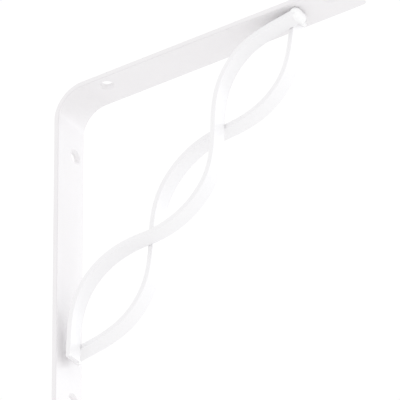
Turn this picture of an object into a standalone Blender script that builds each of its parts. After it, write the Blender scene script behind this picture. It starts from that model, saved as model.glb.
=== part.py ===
"""Decorative shelf bracket: a flat steel bar bent into an L, braced by two wavy strips.

The two strips lie side by side. Each one swings from side to side of the diagonal, so that they
cross four times and enclose three leaf shapes. Everything is painted white.

Run with blender --background --python part.py, or from Blender's text editor. Metres, +Z up.
The origin is on the back of the wall arm, midway between its two screw holes. +X points out from
the wall, along the shelf, and the back of the wall arm lies in the plane X = 0.
"""
import math

import bmesh
import bpy
from mathutils import Vector

MM = 0.001

# The L-shaped bar
BAR_WIDTH = 25.0 * MM
BAR_THICKNESS = 3.2 * MM
BEND_RADIUS = 16.0 * MM          # inside the corner
SHELF_ARM = 205.0 * MM           # from the back of the wall arm to the tip
WALL_ARM = 218.0 * MM            # from the top of the shelf arm to the foot
END_CORNER = 3.5 * MM            # rounded corners at both ends of the bar
BAR_TOP = 120.0 * MM             # height of the shelf face above the origin

# Screw holes, countersunk from the inside of the corner
HOLE_RADIUS = 3.0 * MM
SINK_RADIUS = 4.5 * MM
SINK_DEPTH = SINK_RADIUS - HOLE_RADIUS
SHELF_HOLES_X = (32.0 * MM, 189.5 * MM)
SHELF_HOLES_Y = -4.4 * MM        # the shelf screws sit towards the near edge
WALL_HOLES_Z = (83.0 * MM, -83.0 * MM)
WALL_HOLES_Y = 4.4 * MM          # and the wall screws towards the far one

# The brace strips
STRIP_WIDTH = 10.0 * MM
STRIP_THICKNESS = 3.2 * MM
CLEARANCE = 0.3 * MM             # left between touching pieces
HANDLE = 0.36                    # how full the curves are, as a share of each chord

# The four places where the strips cross, as distances from the wall and below the shelf face
CROSSINGS = ((10.0 * MM, 172.2 * MM), (60.2 * MM, 119.6 * MM), (111.3 * MM, 59.5 * MM),
             (159.7 * MM, 8.4 * MM))

# Each strip's slope at the crossings, in degrees up from level
NEAR_SLOPES = (88.0, 0.0, 88.0, 10.0)
FAR_SLOPES = (9.0, 88.0, 3.0, 82.0)

# How far each strip swings off the straight line between crossings, from the wall outwards
NEAR_SWINGS = (18.0 * MM, 20.0 * MM, 16.4 * MM)
FAR_SWINGS = (16.8 * MM, 18.1 * MM, 16.3 * MM)

# How far a strip runs on past its lower and its upper crossing; the arms cut the far strip short
END_RUNS = (10.3 * MM, 9.0 * MM)

# Facets
BEND_STEPS = 12
CORNER_STEPS = 4
CURVE_STEPS = 9                  # for each half of a leaf
HOLE_SIDES = 24
CUTTER_REACH = 1.0 * MM

WHITE = (0.86, 0.86, 0.87, 1.0)


def clear_scene():
    for thing in list(bpy.data.objects):
        bpy.data.objects.remove(thing, do_unlink=True)


def paint(name, colour, roughness):
    material = bpy.data.materials.new(name)
    material.use_nodes = True
    shader = material.node_tree.nodes["Principled BSDF"]
    shader.inputs["Base Color"].default_value = colour
    shader.inputs["Roughness"].default_value = roughness
    shader.inputs["Metallic"].default_value = 0.0
    return material


def add_object(name, shape, material=None):
    """Makes an object from a bmesh."""
    bmesh.ops.recalc_face_normals(shape, faces=shape.faces)
    mesh = bpy.data.meshes.new(name)
    shape.to_mesh(mesh)
    shape.free()
    thing = bpy.data.objects.new(name, mesh)
    bpy.context.scene.collection.objects.link(thing)
    if material:
        mesh.materials.append(material)
    return thing


def swept_flat(stations, thickness, y_centre):
    """A flat bar swept through stations of (point, inward normal, half width) in the XZ plane.

    The point is on the bar's outer face, and the thickness is measured along the normal.
    """
    shape = bmesh.new()
    rings = []
    for (x, z), (nx, nz), half in stations:
        inner_x = x + nx * thickness
        inner_z = z + nz * thickness
        rings.append([shape.verts.new((x, y_centre - half, z)),
                      shape.verts.new((x, y_centre + half, z)),
                      shape.verts.new((inner_x, y_centre + half, inner_z)),
                      shape.verts.new((inner_x, y_centre - half, inner_z))])
    for ring, following in zip(rings, rings[1:]):
        for side in range(4):
            turn = (side + 1) % 4
            shape.faces.new((ring[side], ring[turn], following[turn], following[side]))
    shape.faces.new(rings[0][::-1])
    shape.faces.new(rings[-1])
    return shape


def end_half_widths():
    """Distance from the end of the bar and half width there, round one quarter of a circle."""
    steps = []
    for step in range(CORNER_STEPS + 1):
        angle = 0.5 * math.pi * step / CORNER_STEPS
        distance = END_CORNER * (1.0 - math.cos(angle))
        half = 0.5 * BAR_WIDTH - END_CORNER * (1.0 - math.sin(angle))
        steps.append((distance, half))
    return steps


def bar_stations():
    """The bar from the foot of the wall arm, round the corner, to the tip of the shelf arm."""
    half = 0.5 * BAR_WIDTH
    foot_z = BAR_TOP - WALL_ARM
    outer_radius = BEND_RADIUS + BAR_THICKNESS
    centre_z = BAR_TOP - outer_radius
    stations = [((0.0, foot_z + distance), (1.0, 0.0), width)
                for distance, width in end_half_widths()]
    for step in range(BEND_STEPS + 1):
        angle = 0.5 * math.pi * step / BEND_STEPS
        normal = (math.cos(angle), -math.sin(angle))
        point = (outer_radius * (1.0 - math.cos(angle)), centre_z + outer_radius * math.sin(angle))
        stations.append((point, normal, half))
    stations += [((SHELF_ARM - distance, BAR_TOP), (0.0, -1.0), width)
                 for distance, width in reversed(end_half_widths())]
    return stations


def countersink_cutter(name, centre, outward):
    """A turned cutter on the axis outward, with centre on the bar's outer face."""
    levels = ((-CUTTER_REACH, HOLE_RADIUS), (BAR_THICKNESS - SINK_DEPTH, HOLE_RADIUS),
              (BAR_THICKNESS, SINK_RADIUS), (BAR_THICKNESS + CUTTER_REACH, SINK_RADIUS))
    shape = bmesh.new()
    rings = []
    for height, radius in levels:
        angles = [2.0 * math.pi * side / HOLE_SIDES for side in range(HOLE_SIDES)]
        rings.append([shape.verts.new((radius * math.cos(a), radius * math.sin(a), height))
                      for a in angles])
    for ring, following in zip(rings, rings[1:]):
        for side in range(HOLE_SIDES):
            turn = (side + 1) % HOLE_SIDES
            shape.faces.new((ring[side], ring[turn], following[turn], following[side]))
    shape.faces.new(rings[0][::-1])
    shape.faces.new(rings[-1])
    cutter = add_object(name, shape)
    cutter.location = centre
    cutter.rotation_mode = "QUATERNION"
    cutter.rotation_quaternion = Vector((0.0, 0.0, 1.0)).rotation_difference(Vector(outward))
    cutter.hide_render = True
    cutter.display_type = "WIRE"
    return cutter


def drill(thing, cutter):
    cut = thing.modifiers.new(cutter.name, "BOOLEAN")
    cut.operation = "DIFFERENCE"
    cut.solver = "EXACT"
    cut.object = cutter


def make_bar(material):
    bar = add_object("bracket_bar", swept_flat(bar_stations(), BAR_THICKNESS, 0.0), material)
    for number, x in enumerate(SHELF_HOLES_X, 1):
        drill(bar, countersink_cutter(f"cutter_shelf_hole_{number}",
                                      (x, SHELF_HOLES_Y, BAR_TOP), (0.0, 0.0, -1.0)))
    for number, z in enumerate(WALL_HOLES_Z, 1):
        drill(bar, countersink_cutter(f"cutter_wall_hole_{number}",
                                      (0.0, WALL_HOLES_Y, z), (1.0, 0.0, 0.0)))


def bezier(start, end, start_angle, end_angle):
    """Points and directions of a cubic curve, without its last point."""
    reach = HANDLE * math.dist(start, end)
    leave = (start[0] + reach * math.cos(start_angle), start[1] + reach * math.sin(start_angle))
    arrive = (end[0] - reach * math.cos(end_angle), end[1] - reach * math.sin(end_angle))
    samples = []
    for step in range(CURVE_STEPS):
        t = step / CURVE_STEPS
        s = 1.0 - t
        point = tuple(s ** 3 * a + 3 * s * s * t * b + 3 * s * t * t * c + t ** 3 * d
                      for a, b, c, d in zip(start, leave, arrive, end))
        slope = tuple(s * s * (b - a) + 2 * s * t * (c - b) + t * t * (d - c)
                      for a, b, c, d in zip(start, leave, arrive, end))
        samples.append((point, math.atan2(slope[1], slope[0])))
    return samples


def crossing_points():
    return [(x, BAR_TOP - depth) for x, depth in CROSSINGS]


def wave(first_side, slopes, swings):
    """A strip's middle line as (point, angle), swinging to first_side of the diagonal first.

    Side +1 is towards the corner of the bracket.
    """
    points = crossing_points()
    angles = [math.radians(slope) for slope in slopes]
    line = []
    for leaf in range(3):
        start, end = points[leaf], points[leaf + 1]
        along = math.atan2(end[1] - start[1], end[0] - start[0])
        swing = first_side * swings[leaf] * (1 if leaf % 2 == 0 else -1)
        crest = (0.5 * (start[0] + end[0]) - swing * math.sin(along),
                 0.5 * (start[1] + end[1]) + swing * math.cos(along))
        line += bezier(start, crest, angles[leaf], along)
        line += bezier(crest, end, along, angles[leaf + 1])
    line.append((points[3], angles[3]))
    return line


def lengthened(line, before, after):
    """The line with a straight run added at each end."""
    (x0, z0), a0 = line[0]
    (x1, z1), a1 = line[-1]
    head = ((x0 - before * math.cos(a0), z0 - before * math.sin(a0)), a0)
    tail = ((x1 + after * math.cos(a1), z1 + after * math.sin(a1)), a1)
    return [head] + line + [tail]


def strip_stations(line):
    half_thickness = 0.5 * STRIP_THICKNESS
    stations = []
    for (x, z), angle in line:
        normal = (math.sin(angle), -math.cos(angle))
        outer = (x - normal[0] * half_thickness, z - normal[1] * half_thickness)
        stations.append((outer, normal, 0.5 * STRIP_WIDTH))
    return stations


def trim_ends(shape, wall_x, shelf_z):
    """Slides the end vertices along their edges until they lie flat against the arms."""
    shape.verts.ensure_lookup_table()
    first, last = shape.verts[:4], shape.verts[-4:]
    for end, inside in zip(first, shape.verts[4:8]):
        run = end.co - inside.co
        end.co = inside.co + run * ((wall_x - inside.co.x) / run.x)
    for end, inside in zip(last, shape.verts[-8:-4]):
        run = end.co - inside.co
        end.co = inside.co + run * ((shelf_z - inside.co.z) / run.z)


def make_strips(material):
    offset = 0.5 * (STRIP_WIDTH + CLEARANCE)
    near_line = lengthened(wave(1, NEAR_SLOPES, NEAR_SWINGS), *END_RUNS)
    near = swept_flat(strip_stations(near_line), STRIP_THICKNESS, -offset)
    far_line = lengthened(wave(-1, FAR_SLOPES, FAR_SWINGS), *END_RUNS)
    far = swept_flat(strip_stations(far_line), STRIP_THICKNESS, offset)
    inside = BAR_THICKNESS + CLEARANCE
    trim_ends(far, inside, BAR_TOP - inside)
    add_object("brace_strip_near", near, material)
    add_object("brace_strip_far", far, material)


def main():
    clear_scene()
    make_bar(paint("white_paint_bar", WHITE, 0.38))
    make_strips(paint("white_paint_strips", WHITE, 0.38))


main()
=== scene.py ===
"""Decorative shelf bracket in white painted steel: a bar bent into an L, braced by two wavy strips.

Metres, +Z up. The back of the wall arm is the plane X = 0, and +X points along the shelf arm.
The sizes are those of the CAD model. Here the edges are rounded, the holes have broken rims, and
the welds and the paint are added.
"""
import math
import random

import bmesh
import bpy
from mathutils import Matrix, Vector


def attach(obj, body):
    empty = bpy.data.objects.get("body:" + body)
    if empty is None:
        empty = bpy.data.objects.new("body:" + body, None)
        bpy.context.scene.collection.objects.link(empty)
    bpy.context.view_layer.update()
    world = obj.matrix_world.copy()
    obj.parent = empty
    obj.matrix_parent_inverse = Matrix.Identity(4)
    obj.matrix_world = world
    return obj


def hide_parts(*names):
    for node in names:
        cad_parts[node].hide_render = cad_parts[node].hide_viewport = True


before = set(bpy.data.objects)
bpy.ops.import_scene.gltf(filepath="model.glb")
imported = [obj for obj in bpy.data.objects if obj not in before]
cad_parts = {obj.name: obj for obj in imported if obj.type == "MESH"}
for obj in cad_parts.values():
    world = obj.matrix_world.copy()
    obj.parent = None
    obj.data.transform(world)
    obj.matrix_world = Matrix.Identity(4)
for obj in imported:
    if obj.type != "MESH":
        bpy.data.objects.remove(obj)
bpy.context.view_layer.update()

MM = 0.001

# The L-shaped bar
BAR_WIDTH = 25.0 * MM
BAR_THICKNESS = 3.2 * MM
BEND_RADIUS = 16.0 * MM
SHELF_ARM = 205.0 * MM
WALL_ARM = 218.0 * MM
END_CORNER = 3.5 * MM
BAR_TOP = 120.0 * MM
BAR_EDGE = 0.5 * MM              # radius of the long edges

# Screw holes, countersunk from the inside of the corner
HOLE_RADIUS = 3.0 * MM
SINK_RADIUS = 4.5 * MM
SINK_DEPTH = SINK_RADIUS - HOLE_RADIUS
SHELF_HOLES_X = (32.0 * MM, 189.5 * MM)
SHELF_HOLES_Y = -4.4 * MM
WALL_HOLES_Z = (83.0 * MM, -83.0 * MM)
WALL_HOLES_Y = 4.4 * MM
RIM = 0.25 * MM                  # rounding at the rim on the outer face
THROAT = 0.1 * MM                # half the height of the softened throat under the countersink
CUTTER_REACH = 1.0 * MM

# The countersink's lip, as (distance below the inner face, distance beyond the sink's radius)
LIP = ((0.3 * MM, -0.3 * MM), (0.1 * MM, -0.06 * MM), (0.0, 0.12 * MM))

# The brace strips
STRIP_WIDTH = 10.0 * MM
STRIP_THICKNESS = 3.2 * MM
STRIP_EDGE = 0.35 * MM           # radius of the long edges
CLEARANCE = 0.3 * MM             # left between the two strips
ROOT_SUNK = 0.05 * MM            # how far the far strip's ends run into the arms
HANDLE = 0.36                    # how full the curves are, as a share of each chord

# The four places where the strips cross, as distances from the wall and below the shelf face
CROSSINGS = ((10.0 * MM, 172.2 * MM), (60.2 * MM, 119.6 * MM), (111.3 * MM, 59.5 * MM),
             (159.7 * MM, 8.4 * MM))

# Each strip's slope at the crossings, in degrees up from level
NEAR_SLOPES = (88.0, 0.0, 88.0, 10.0)
FAR_SLOPES = (9.0, 88.0, 3.0, 82.0)

# How far each strip swings off the straight line between crossings, from the wall outwards
NEAR_SWINGS = (18.0 * MM, 20.0 * MM, 16.4 * MM)
FAR_SWINGS = (16.8 * MM, 18.1 * MM, 16.3 * MM)

# How far a strip runs on past its lower and its upper crossing; the arms cut the far strip short
END_RUNS = (10.3 * MM, 9.0 * MM)

# Rounded ends, all in shares of the edge radius
END_RINGS = (0.0, 0.15, 0.45, 1.0)    # distances of the rings from a strip's very end
DEEPEST_INSET = 0.8
LEAST_RADIUS = 0.05

# The beads at the far strip's roots, as (side of the strip, radius)
WALL_ROOT_BEADS = ((1, 1.5 * MM), (-1, 1.8 * MM))
SHELF_ROOT_BEADS = ((1, 1.8 * MM), (-1, 1.4 * MM))
ROOT_BEADS_Y = (0.6 * MM, STRIP_WIDTH + 0.1 * MM)
OFF_STRIP, OFF_ARM = 0.35, 0.25       # from the bead's middle to either face, in radii

# The heavy bead at the near strip's upper end
TIP_RADIUS = 3.3 * MM
TIP_BACK, TIP_RISE = 0.9 * MM, 0.55 * MM    # from the strip's end, towards the wall and up
TIP_SKEW = (0.3 * MM, -0.9 * MM)      # how far its near and its far end lie off that line
TIP_BEAD_Y = (-STRIP_WIDTH - 0.3 * MM, 2.2 * MM)
TIP_SWELLING = 0.02

# Drops of paint under the near strip's lower end, as (y, length)
DROPS = ((-STRIP_WIDTH + 0.2 * MM, 1.5 * MM), (-0.6 * MM, 2.6 * MM))
DROP_RADIUS = 0.7 * MM
DROP_START = 1.0 * MM                 # above the strip's end
DROP_OUT = 0.4                        # outwards from the middle of the strip, in thicknesses

# The tacks on the crossings
TACK_RADIUS = 0.75 * MM
TACK_HALF = 1.3 * MM             # half its length
TACK_RISE = 0.25 * MM            # from the strip's face to its middle

# The waves on a bead: their height as a share of its radius, and their length over 2 pi
RIPPLE, RIPPLE_LENGTH = 0.025, 0.22 * MM
RIPPLE_SKEW = 0.6                # radians
SWELLING, SWELL_LENGTH = 0.06, 0.9 * MM
RING_GAP = 0.2 * MM              # between the rings of a bead
LEAST_RINGS = 8

# Facets
BEND_STEPS = 40
CORNER_STEPS = 12
CURVE_STEPS = 24
EDGE_STEPS = 4
RIM_STEPS = 4
HOLE_SIDES = 64
BEAD_SIDES = 24
BEAD_CAP = 8
SHARP_ANGLE = 50.0               # degrees

# Paint
MOTTLE_SCALE, MOTTLE_RANGE = 38.0, (0.30, 0.70)
GLOSS_RANGE = (0.34, 0.46)       # roughness
GRAIN, WELD_GRAIN = 900.0, 700.0
WAVES = 0.12                     # the broad waves' scale, as a share of the grain's
RELIEF = 0.10                    # strength of both bumps
PEEL_HEIGHT, WAVE_HEIGHT = 0.2 * MM, 0.6 * MM

# Camera
AIM = Vector((0.0953, 0.0, 0.0167))    # the point that it looks at
DISTANCE = 5.0
AZIMUTH = math.radians(35.41)
ELEVATION = math.radians(-32.50)
PIXELS_PER_METRE = 1745.4        # in the photograph, at the aim point
FRAME_WIDTH = 400.0 / PIXELS_PER_METRE
SENSOR = 36.0
CLIP = (0.1, 20.0)

# Studio
FLOOR_HALF = 30.0
FLOOR_Z = -7.5                   # low enough to stay out of the way of views from below
FLOOR_GREY, FLOOR_ROUGHNESS, FLOOR_GLOW = 0.82, 0.9, 0.2
WORLD_STRENGTH = 1.02
KEY_COLOUR = (0.95, 1.0, 1.02)   # a little cooler than the world
KEY_DISTANCE, KEY_SIZE = 1.5, 0.5
KEYS = (((0.66, 0.64, 0.39), 2.0), ((1.0, 0.12, 0.1), 1.6))    # direction and power


def add_object(name, shape, *materials):
    bmesh.ops.recalc_face_normals(shape, faces=shape.faces)
    mesh = bpy.data.meshes.new(name)
    shape.to_mesh(mesh)
    shape.free()
    thing = bpy.data.objects.new(name, mesh)
    bpy.context.scene.collection.objects.link(thing)
    for material in materials:
        mesh.materials.append(material)
    return thing


def smooth(thing):
    """Smooth shading that keeps the large flats flat."""
    thing.data.shade_smooth()
    thing.data.set_sharp_from_angle(angle=math.radians(SHARP_ANGLE))
    flats = thing.modifiers.new("flats", "WEIGHTED_NORMAL")
    flats.keep_sharp = True
    flats.weight = 50


def rounded_section(half, thickness, edge, inset):
    """A rectangle with rounded edges as (across, up) points, shrunk by inset on all sides."""
    radius = max(edge - inset, LEAST_RADIUS * edge)
    points = []
    corners = ((-1, 0, 180.0), (1, 0, 270.0), (1, 1, 0.0), (-1, 1, 90.0))
    for across, top, first in corners:
        centre_y = across * (half - inset - radius)
        centre_t = thickness - inset - radius if top else inset + radius
        for step in range(EDGE_STEPS + 1):
            angle = math.radians(first + 90.0 * step / EDGE_STEPS)
            points.append((centre_y + radius * math.cos(angle),
                           centre_t + radius * math.sin(angle)))
    return points


def sweep(stations, thickness, edge, y_centre, edge_slot=0):
    """A rounded bar through stations of (point on the outer face, normal, half width, inset).

    Its long edges take the material of edge_slot.
    """
    shape = bmesh.new()
    rings = []
    for (x, z), (nx, nz), half, inset in stations:
        rings.append([shape.verts.new((x + nx * t, y_centre + y, z + nz * t))
                      for y, t in rounded_section(half, thickness, edge, inset)])
    count = len(rings[0])
    for ring, following in zip(rings, rings[1:]):
        for side in range(count):
            turn = (side + 1) % count
            face = shape.faces.new((ring[side], ring[turn], following[turn], following[side]))
            face.material_index = edge_slot if side % (EDGE_STEPS + 1) < EDGE_STEPS else 0
    shape.faces.new(rings[0][::-1])
    shape.faces.new(rings[-1])
    return shape


def end_inset(distance, edge):
    """How far the section has drawn in at a distance from a rounded end."""
    if distance >= edge:
        return 0.0
    short = edge - distance
    return min(edge - math.sqrt(edge * edge - short * short), DEEPEST_INSET * edge)


def bar_end():
    """(distance from the end, half width, inset) from the very end of the bar inwards."""
    distances = [END_CORNER * (1.0 - math.cos(0.5 * math.pi * step / CORNER_STEPS))
                 for step in range(CORNER_STEPS + 1)]
    steps = []
    for distance in distances:
        rise = math.sqrt(max(END_CORNER ** 2 - (END_CORNER - distance) ** 2, 0.0))
        half = 0.5 * BAR_WIDTH - END_CORNER + rise
        steps.append((distance, half, end_inset(distance, BAR_EDGE)))
    return steps


def bar_stations():
    """The bar from the foot of the wall arm, round the corner, to the tip of the shelf arm."""
    half = 0.5 * BAR_WIDTH
    foot_z = BAR_TOP - WALL_ARM
    outer_radius = BEND_RADIUS + BAR_THICKNESS
    centre_z = BAR_TOP - outer_radius
    stations = [((0.0, foot_z + distance), (1.0, 0.0), width, inset)
                for distance, width, inset in bar_end()]
    for step in range(BEND_STEPS + 1):
        angle = 0.5 * math.pi * step / BEND_STEPS
        point = (outer_radius * (1.0 - math.cos(angle)), centre_z + outer_radius * math.sin(angle))
        stations.append((point, (math.cos(angle), -math.sin(angle)), half, 0.0))
    stations += [((SHELF_ARM - distance, BAR_TOP), (0.0, -1.0), width, inset)
                 for distance, width, inset in reversed(bar_end())]
    return stations


def hole_profile():
    """(height above the outer face, radius) up a countersunk hole, with rounded rims."""
    quarter = [0.5 * math.pi * step / RIM_STEPS for step in range(RIM_STEPS + 1)]
    throat_height = BAR_THICKNESS - SINK_DEPTH
    profile = [(-CUTTER_REACH, HOLE_RADIUS + RIM)]
    profile += [(RIM * (1.0 - math.cos(angle)), HOLE_RADIUS + RIM * (1.0 - math.sin(angle)))
                for angle in quarter]
    profile += [(throat_height - THROAT, HOLE_RADIUS),
                (throat_height + THROAT, HOLE_RADIUS + THROAT)]
    profile += [(BAR_THICKNESS - below, SINK_RADIUS + beyond) for below, beyond in LIP]
    profile += [(BAR_THICKNESS + CUTTER_REACH, SINK_RADIUS + LIP[-1][1])]
    return profile


def hole_cutter(centre, inward, material):
    """A turned cutter that runs inward from centre, a point on the bar's outer face."""
    shape = bmesh.new()
    rings = []
    for height, radius in hole_profile():
        turns = [2.0 * math.pi * side / HOLE_SIDES for side in range(HOLE_SIDES)]
        rings.append([shape.verts.new((radius * math.cos(a), radius * math.sin(a), height))
                      for a in turns])
    for ring, following in zip(rings, rings[1:]):
        for side in range(HOLE_SIDES):
            turn = (side + 1) % HOLE_SIDES
            shape.faces.new((ring[side], ring[turn], following[turn], following[side]))
    shape.faces.new(rings[0][::-1])
    shape.faces.new(rings[-1])
    cutter = add_object("cutter", shape, material)
    cutter.location = centre
    cutter.rotation_mode = "QUATERNION"
    cutter.rotation_quaternion = Vector((0.0, 0.0, 1.0)).rotation_difference(Vector(inward))
    return cutter


def cut_holes(bar, cutters):
    """Cuts the holes into the bar's own mesh and removes the cutters."""
    for cutter in cutters:
        cut = bar.modifiers.new("hole", "BOOLEAN")
        cut.operation = "DIFFERENCE"
        cut.solver = "EXACT"
        cut.object = cutter
    bpy.context.view_layer.update()
    graph = bpy.context.evaluated_depsgraph_get()
    mesh = bpy.data.meshes.new_from_object(bar.evaluated_get(graph))
    bar.modifiers.clear()
    bar.data = mesh
    for cutter in cutters:
        bpy.data.objects.remove(cutter, do_unlink=True)


def make_bar(material, edge_material):
    shape = sweep(bar_stations(), BAR_THICKNESS, BAR_EDGE, 0.0, 1)
    bar = add_object("painted_bar", shape, material, edge_material)
    cutters = [hole_cutter((x, SHELF_HOLES_Y, BAR_TOP), (0.0, 0.0, -1.0), material)
               for x in SHELF_HOLES_X]
    cutters += [hole_cutter((0.0, WALL_HOLES_Y, z), (1.0, 0.0, 0.0), material)
                for z in WALL_HOLES_Z]
    cut_holes(bar, cutters)
    smooth(bar)
    return bar


def bezier(start, end, start_angle, end_angle):
    """Points and directions of a cubic curve, without its last point."""
    reach = HANDLE * math.dist(start, end)
    leave = (start[0] + reach * math.cos(start_angle), start[1] + reach * math.sin(start_angle))
    arrive = (end[0] - reach * math.cos(end_angle), end[1] - reach * math.sin(end_angle))
    samples = []
    for step in range(CURVE_STEPS):
        t = step / CURVE_STEPS
        s = 1.0 - t
        point = tuple(s ** 3 * a + 3 * s * s * t * b + 3 * s * t * t * c + t ** 3 * d
                      for a, b, c, d in zip(start, leave, arrive, end))
        slope = tuple(s * s * (b - a) + 2 * s * t * (c - b) + t * t * (d - c)
                      for a, b, c, d in zip(start, leave, arrive, end))
        samples.append((point, math.atan2(slope[1], slope[0])))
    return samples


def crossing_points():
    return [(x, BAR_TOP - depth) for x, depth in CROSSINGS]


def wave(first_side, slopes, swings):
    """A strip's middle line as (point, angle), swinging to first_side of the diagonal first.

    Side +1 is towards the corner of the bracket.
    """
    points = crossing_points()
    angles = [math.radians(slope) for slope in slopes]
    line = []
    for leaf in range(3):
        start, end = points[leaf], points[leaf + 1]
        along = math.atan2(end[1] - start[1], end[0] - start[0])
        swing = first_side * swings[leaf] * (1 if leaf % 2 == 0 else -1)
        crest = (0.5 * (start[0] + end[0]) - swing * math.sin(along),
                 0.5 * (start[1] + end[1]) + swing * math.cos(along))
        line += bezier(start, crest, angles[leaf], along)
        line += bezier(crest, end, along, angles[leaf + 1])
    line.append((points[3], angles[3]))
    return line


def moved_along(point, angle, distance):
    return (point[0] + distance * math.cos(angle), point[1] + distance * math.sin(angle))


def strip_stations(line, runs, rounded):
    """Stations of a strip whose line runs on straight at its two ends, rounded there or not."""
    head, tail = runs
    (first, first_angle), (last, last_angle) = line[0], line[-1]
    ends = [share * STRIP_EDGE for share in END_RINGS] if rounded else [0.0]
    path = [(moved_along(first, first_angle, d - head), first_angle, d) for d in ends]
    path += [(point, angle, STRIP_EDGE) for point, angle in line]
    path += [(moved_along(last, last_angle, tail - d), last_angle, d) for d in reversed(ends)]
    stations = []
    for (x, z), angle, distance in path:
        normal = (math.sin(angle), -math.cos(angle))
        outer = (x - 0.5 * STRIP_THICKNESS * normal[0], z - 0.5 * STRIP_THICKNESS * normal[1])
        inset = end_inset(distance, STRIP_EDGE) if rounded else 0.0
        stations.append((outer, normal, 0.5 * STRIP_WIDTH, inset))
    return stations


def trim_ends(shape, wall_x, shelf_z):
    """Slides the end rings along the strip until they lie in the planes of wall_x and shelf_z."""
    count = 4 * (EDGE_STEPS + 1)
    shape.verts.ensure_lookup_table()
    verts = list(shape.verts)
    for end, inside in zip(verts[:count], verts[count:2 * count]):
        run = end.co - inside.co
        end.co = inside.co + run * ((wall_x - inside.co.x) / run.x)
    for end, inside in zip(verts[-count:], verts[-2 * count:-count]):
        run = end.co - inside.co
        end.co = inside.co + run * ((shelf_z - inside.co.z) / run.z)


def make_strips(material):
    offset = 0.5 * (STRIP_WIDTH + CLEARANCE)
    near_line = wave(1, NEAR_SLOPES, NEAR_SWINGS)
    far_line = wave(-1, FAR_SLOPES, FAR_SWINGS)
    near = sweep(strip_stations(near_line, END_RUNS, True), STRIP_THICKNESS, STRIP_EDGE, -offset)
    far = sweep(strip_stations(far_line, END_RUNS, False), STRIP_THICKNESS, STRIP_EDGE, offset)
    trim_ends(far, BAR_THICKNESS - ROOT_SUNK, BAR_TOP - BAR_THICKNESS + ROOT_SUNK)
    strips = [add_object("painted_strip_near", near, material),
              add_object("painted_strip_far", far, material)]
    for strip in strips:
        smooth(strip)
    return strips


def bead_stops(length, radius):
    """Distances of a bead's rings from its start, close together in its two round ends."""
    middle = max(LEAST_RINGS, int((length - 2.0 * radius) / RING_GAP))
    quarter = [1.0 - math.cos(0.5 * math.pi * (step + 0.5) / BEAD_CAP) for step in range(BEAD_CAP)]
    stops = [radius * q for q in quarter]
    stops += [radius + (length - 2.0 * radius) * step / middle for step in range(middle + 1)]
    return stops + [length - radius * q for q in reversed(quarter)]


def bead(shape, start, end, radius, seed, swelling=SWELLING):
    """A softly rippled rod with round ends, for the welds and the drops of paint."""
    dice = random.Random(seed)
    start, end = Vector(start), Vector(end)
    axis = (end - start).normalized()
    side = axis.orthogonal().normalized()
    up = axis.cross(side)
    length = (end - start).length
    ripple, swell, twist = (dice.uniform(0.0, 6.0) for _ in range(3))
    rings = []
    for along in bead_stops(length, radius):
        from_end = min(along, length - along) / radius
        cap = math.sqrt(max(1.0 - (1.0 - min(from_end, 1.0)) ** 2, 0.0))
        ring = []
        for turn in range(BEAD_SIDES):
            angle = 2.0 * math.pi * turn / BEAD_SIDES
            skew = RIPPLE_SKEW * math.cos(angle)
            lump = 1.0 + RIPPLE * math.sin(along / RIPPLE_LENGTH + ripple + skew)
            lump += swelling * math.sin(along / SWELL_LENGTH + swell + math.sin(angle + twist))
            reach = radius * cap * lump
            spoke = math.cos(angle) * side + math.sin(angle) * up
            ring.append(shape.verts.new(start + axis * along + reach * spoke))
        rings.append(ring)
    for ring, following in zip(rings, rings[1:]):
        for turn in range(BEAD_SIDES):
            nxt = (turn + 1) % BEAD_SIDES
            shape.faces.new((ring[turn], ring[nxt], following[nxt], following[turn]))
    shape.faces.new(rings[0][::-1])
    shape.faces.new(rings[-1])


def root_beads(shape):
    """The far strip's two roots, each with a bead along both of its corners."""
    near_y, far_y = ROOT_BEADS_Y
    (x0, z0), a0 = crossing_points()[0], math.radians(FAR_SLOPES[0])
    foot_z = z0 - (x0 - BAR_THICKNESS) * math.tan(a0)
    for side, radius in WALL_ROOT_BEADS:
        z = foot_z + side * (0.5 * STRIP_THICKNESS + OFF_STRIP * radius)
        x = BAR_THICKNESS + OFF_ARM * radius
        bead(shape, (x, near_y, z), (x, far_y, z), radius, seed=11 + side)
    (x3, z3), a3 = crossing_points()[3], math.radians(FAR_SLOPES[3])
    top_z = BAR_TOP - BAR_THICKNESS
    tip_x = x3 + (top_z - z3) / math.tan(a3)
    for side, radius in SHELF_ROOT_BEADS:
        x = tip_x + side * (0.5 * STRIP_THICKNESS + OFF_STRIP * radius)
        z = top_z - OFF_ARM * radius
        bead(shape, (x, near_y, z), (x, far_y, z), radius, seed=21 + side)


def tip_bead(shape):
    """The heavy bead that wraps the near strip's upper end and closes its gap to the shelf arm."""
    end_x, end_z = moved_along(crossing_points()[3], math.radians(NEAR_SLOPES[3]), END_RUNS[1])
    x, z = end_x - TIP_BACK, end_z + TIP_RISE
    start, end = [(x + skew, y, z) for skew, y in zip(TIP_SKEW, TIP_BEAD_Y)]
    bead(shape, start, end, TIP_RADIUS, seed=41, swelling=TIP_SWELLING)


def foot_drips(shape):
    """Paint gathered at the two corners of the near strip's lower end."""
    end_x, end_z = moved_along(crossing_points()[0], math.radians(NEAR_SLOPES[0]), -END_RUNS[0])
    x, z = end_x + DROP_OUT * STRIP_THICKNESS, end_z + DROP_START
    for y, length in DROPS:
        bead(shape, (x, y, z), (x, y, z - length), DROP_RADIUS, seed=51)


def crossing_beads(shape):
    """A small tack on top of each crossing, along the near strip where the two meet."""
    for number, (x, z) in enumerate(crossing_points()):
        slope = math.radians(NEAR_SLOPES[number])
        along = Vector((math.cos(slope), 0.0, math.sin(slope)))
        across = Vector((-math.sin(slope), 0.0, math.cos(slope)))
        centre = Vector((x, 0.0, z)) + across * (0.5 * STRIP_THICKNESS + TACK_RISE)
        reach = along * TACK_HALF
        bead(shape, centre - reach, centre + reach, TACK_RADIUS, seed=32 + 2 * number)


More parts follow.
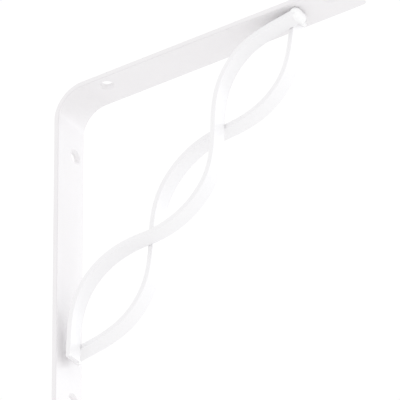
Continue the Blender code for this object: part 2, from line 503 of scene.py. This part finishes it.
def make_welds(material):
    shape = bmesh.new()
    root_beads(shape)
    tip_bead(shape)
    foot_drips(shape)
    crossing_beads(shape)
    welds = add_object("painted_welds", shape, material)
    welds.data.shade_smooth()
    return welds


def node(tree, kind, **inputs):
    """A new shader node with some of its sockets set."""
    made = tree.nodes.new(kind)
    for name, value in inputs.items():
        made.inputs[name.replace("_", " ")].default_value = value
    return made


def paint(name, colour, darker, grain):
    """Satin white paint over steel: faint mottling, an orange peel and slightly uneven gloss."""
    material = bpy.data.materials.new(name)
    material.use_nodes = True
    tree = material.node_tree
    shader = tree.nodes["Principled BSDF"]
    where = tree.nodes.new("ShaderNodeTexCoord")

    cloud = node(tree, "ShaderNodeTexNoise", Scale=MOTTLE_SCALE, Detail=3.0, Roughness=0.55)
    tree.links.new(where.outputs["Object"], cloud.inputs["Vector"])
    tint = tree.nodes.new("ShaderNodeValToRGB")
    for stop, position, shade in zip(tint.color_ramp.elements, MOTTLE_RANGE, (darker, colour)):
        stop.position = position
        stop.color = (*shade, 1.0)
    tree.links.new(cloud.outputs["Fac"], tint.inputs["Fac"])
    tree.links.new(tint.outputs["Color"], shader.inputs["Base Color"])

    gloss = node(tree, "ShaderNodeMapRange", To_Min=GLOSS_RANGE[0], To_Max=GLOSS_RANGE[1])
    tree.links.new(cloud.outputs["Fac"], gloss.inputs["Value"])
    tree.links.new(gloss.outputs["Result"], shader.inputs["Roughness"])

    peel = node(tree, "ShaderNodeTexNoise", Scale=grain, Detail=2.0, Roughness=0.5)
    tree.links.new(where.outputs["Object"], peel.inputs["Vector"])
    waves = node(tree, "ShaderNodeTexNoise", Scale=WAVES * grain, Detail=1.0, Roughness=0.5)
    tree.links.new(where.outputs["Object"], waves.inputs["Vector"])
    fine = node(tree, "ShaderNodeBump", Strength=RELIEF, Distance=PEEL_HEIGHT)
    tree.links.new(peel.outputs["Fac"], fine.inputs["Height"])
    broad = node(tree, "ShaderNodeBump", Strength=RELIEF, Distance=WAVE_HEIGHT)
    tree.links.new(waves.outputs["Fac"], broad.inputs["Height"])
    tree.links.new(fine.outputs["Normal"], broad.inputs["Normal"])
    tree.links.new(broad.outputs["Normal"], shader.inputs["Normal"])
    return material


def make_floor():
    shape = bmesh.new()
    corners = [shape.verts.new((x * FLOOR_HALF, y * FLOOR_HALF, FLOOR_Z))
               for x, y in ((-1, -1), (1, -1), (1, 1), (-1, 1))]
    shape.faces.new(corners)
    material = bpy.data.materials.new("pale_floor")
    material.use_nodes = True
    shader = material.node_tree.nodes["Principled BSDF"]
    shader.inputs["Base Color"].default_value = (FLOOR_GREY, FLOOR_GREY, FLOOR_GREY, 1.0)
    shader.inputs["Roughness"].default_value = FLOOR_ROUGHNESS
    shader.inputs["Emission Color"].default_value = (1.0, 1.0, 1.0, 1.0)
    shader.inputs["Emission Strength"].default_value = FLOOR_GLOW
    return add_object("studio_floor", shape, material)


def make_world():
    world = bpy.data.worlds.new("pale_studio")
    world.use_nodes = True
    backdrop = world.node_tree.nodes["Background"]
    backdrop.inputs["Color"].default_value = (1.0, 1.0, 1.0, 1.0)
    backdrop.inputs["Strength"].default_value = WORLD_STRENGTH
    bpy.context.scene.world = world


def add_key(direction, power):
    """A soft lamp that shines on the aim point from a direction."""
    light = bpy.data.lights.new("key", "AREA")
    light.shape = "SQUARE"
    light.size = KEY_SIZE
    light.energy = power
    light.color = KEY_COLOUR
    lamp = bpy.data.objects.new("key", light)
    bpy.context.scene.collection.objects.link(lamp)
    towards = Vector(direction).normalized()
    lamp.location = AIM + towards * KEY_DISTANCE
    lamp.rotation_mode = "QUATERNION"
    lamp.rotation_quaternion = towards.to_track_quat("Z", "Y")


def make_camera():
    data = bpy.data.cameras.new("camera")
    data.sensor_width = SENSOR
    data.lens = SENSOR * DISTANCE / FRAME_WIDTH
    data.clip_start, data.clip_end = CLIP
    camera = bpy.data.objects.new("camera", data)
    bpy.context.scene.collection.objects.link(camera)
    back = Vector((math.sin(AZIMUTH) * math.cos(ELEVATION),
                   -math.cos(AZIMUTH) * math.cos(ELEVATION), math.sin(ELEVATION)))
    camera.location = AIM + back * DISTANCE
    camera.rotation_mode = "QUATERNION"
    camera.rotation_quaternion = back.to_track_quat("Z", "Y")
    bpy.context.scene.camera = camera


def place(piece, slot, *nodes):
    """Puts a piece on the bracket's one body and in place of its CAD nodes; the slot is not used.
    """
    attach(piece, "root")
    if nodes:
        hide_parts(*nodes)


# The bar's paint is a darker copy of the strips' white paint: painted shade, set by the shaded
# underside of the shelf arm.
BAR_SHADED_PAINT = paint("white_paint_bar", (0.856, 0.841, 0.852), (0.842, 0.827, 0.838), GRAIN)
# The bar's rounded long edges take a copy darker still: the bar's painted shade, and a thin dark
# line along every edge.
BAR_EDGE_PAINT = paint("white_paint_bar_edges", (0.82, 0.803, 0.815), (0.80, 0.783, 0.795), GRAIN)
STRIP_PAINT = paint("white_paint_strips", (0.886, 0.879, 0.889), (0.874, 0.867, 0.878), GRAIN)
# The welds' paint is a lighter copy of the white paint: a painted highlight on every bead, tack and
# drop.
WELD_HIGHLIGHT_PAINT = paint("white_paint_welds_painted_highlight", (0.95, 0.95, 0.95), (0.93, 0.93, 0.935), WELD_GRAIN)

place(make_bar(BAR_SHADED_PAINT, BAR_EDGE_PAINT), "white_painted_bar", "bracket_bar")
near_strip, far_strip = make_strips(STRIP_PAINT)
place(near_strip, "white_painted_strips", "brace_strip_near")
place(far_strip, "white_painted_strips", "brace_strip_far")
place(make_welds(WELD_HIGHLIGHT_PAINT), "white_painted_strips")

make_floor()
make_world()
for direction, power in KEYS:
    add_key(direction, power)
make_camera()
bpy.context.scene.view_settings.view_transform = "Standard"
